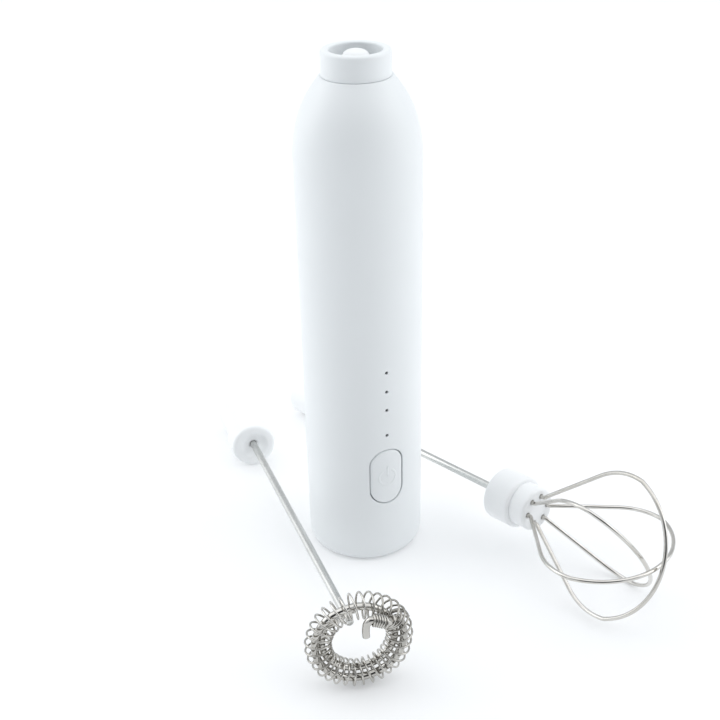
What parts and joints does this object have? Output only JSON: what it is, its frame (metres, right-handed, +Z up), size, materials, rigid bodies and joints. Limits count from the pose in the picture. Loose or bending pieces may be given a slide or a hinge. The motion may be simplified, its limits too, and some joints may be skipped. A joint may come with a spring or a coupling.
{
  "type": "milk frother",
  "caption": "Rechargeable handheld milk frother: upright tube handle with push button and driven socket, with a spring-ring whisk and a wire balloon whisk lying beside it.",
  "frame": {"origin": "centre of the flat base that the handle stands on", "axes": "+Z up along the handle's and the motor's axis; -Y is the front, where the button is; both whisks lie on the plane Z = 0"},
  "size_m": [0.1137, 0.1588, 0.1547],
  "materials": {
    "handle_white": "fine satin moulded ABS, white",
    "connector_white": "smooth moulded plastic, white",
    "bright_wire": "bright drawn stainless wire",
    "satin_rod": "satin stainless rod",
    "grey_plastic": "moulded, matte",
    "plated_steel": "nickel-plated steel",
    "black_plastic": "moulded, matte",
    "black_rubber": "matte rubber",
    "ferrite": "sintered, matte",
    "green_board": "solder mask",
    "copper_winding": "lacquered copper",
    "bronze_bush": "sintered bronze",
    "cell_wrap": "shrink wrap, plain",
    "clear_plastic": "translucent light pipe"
  },
  "bodies": {
    "handle": {"body_shell": "handle_white", "base_cap": "handle_white", "socket_collar": "handle_white", "inner_frame": "grey_plastic", "battery": "cell_wrap", "main_board": "green_board", "status_led_1": "clear_plastic", "status_led_2": "clear_plastic", "status_led_3": "clear_plastic", "status_led_4": "clear_plastic", "light_guide": "clear_plastic", "switch_body": "black_plastic", "charge_board": "green_board", "charge_inlet": "plated_steel", "base_screw_1": "plated_steel", "base_screw_2": "plated_steel", "motor_can": "plated_steel", "motor_end_bell": "black_plastic", "magnet_1": "ferrite", "magnet_2": "ferrite", "rear_bush": "bronze_bush", "front_bush": "bronze_bush", "motor_sleeve": "black_rubber", "motor_cradle": "grey_plastic", "shaft_seal": "black_rubber", "motor_screw_1": "plated_steel", "motor_screw_2": "plated_steel"},
    "spindle": {"drive_spigot": "connector_white", "motor_shaft": "plated_steel", "armature": "copper_winding", "commutator": "copper_winding"},
    "button": {"button_cap": "handle_white", "switch_plunger": "black_plastic"},
    "froth_whisk": {"froth_connector": "connector_white", "froth_rod": "satin_rod", "froth_ring_wire": "bright_wire", "froth_coil": "bright_wire"},
    "balloon_whisk": {"balloon_connector": "connector_white", "balloon_rod": "satin_rod", "balloon_hub": "connector_white", "balloon_hub_nose": "connector_white", "balloon_loop_1": "bright_wire", "balloon_loop_2": "bright_wire", "balloon_loop_3": "bright_wire"}
  },
  "joints": [
    {"name": "spindle_spin", "type": "hinge", "parent": "handle", "child": "spindle", "pos_m": [0, 0, 0.11], "axis": [0, 0, 1], "continuous": true},
    {"name": "button_press", "type": "slide", "parent": "handle", "child": "button", "axis": [0, 1, 0], "range_m": [0, 0.0006], "stiffness_N_per_m": 1500, "springref_m": -0.0004},
    {"name": "froth_lift", "type": "slide", "parent": "handle", "child": "froth_whisk", "axis": [0, 0, 1], "range_m": [0, 0.165]},
    {"name": "balloon_lift", "type": "slide", "parent": "handle", "child": "balloon_whisk", "axis": [0, 0, 1], "range_m": [0, 0.165]}
  ]
}
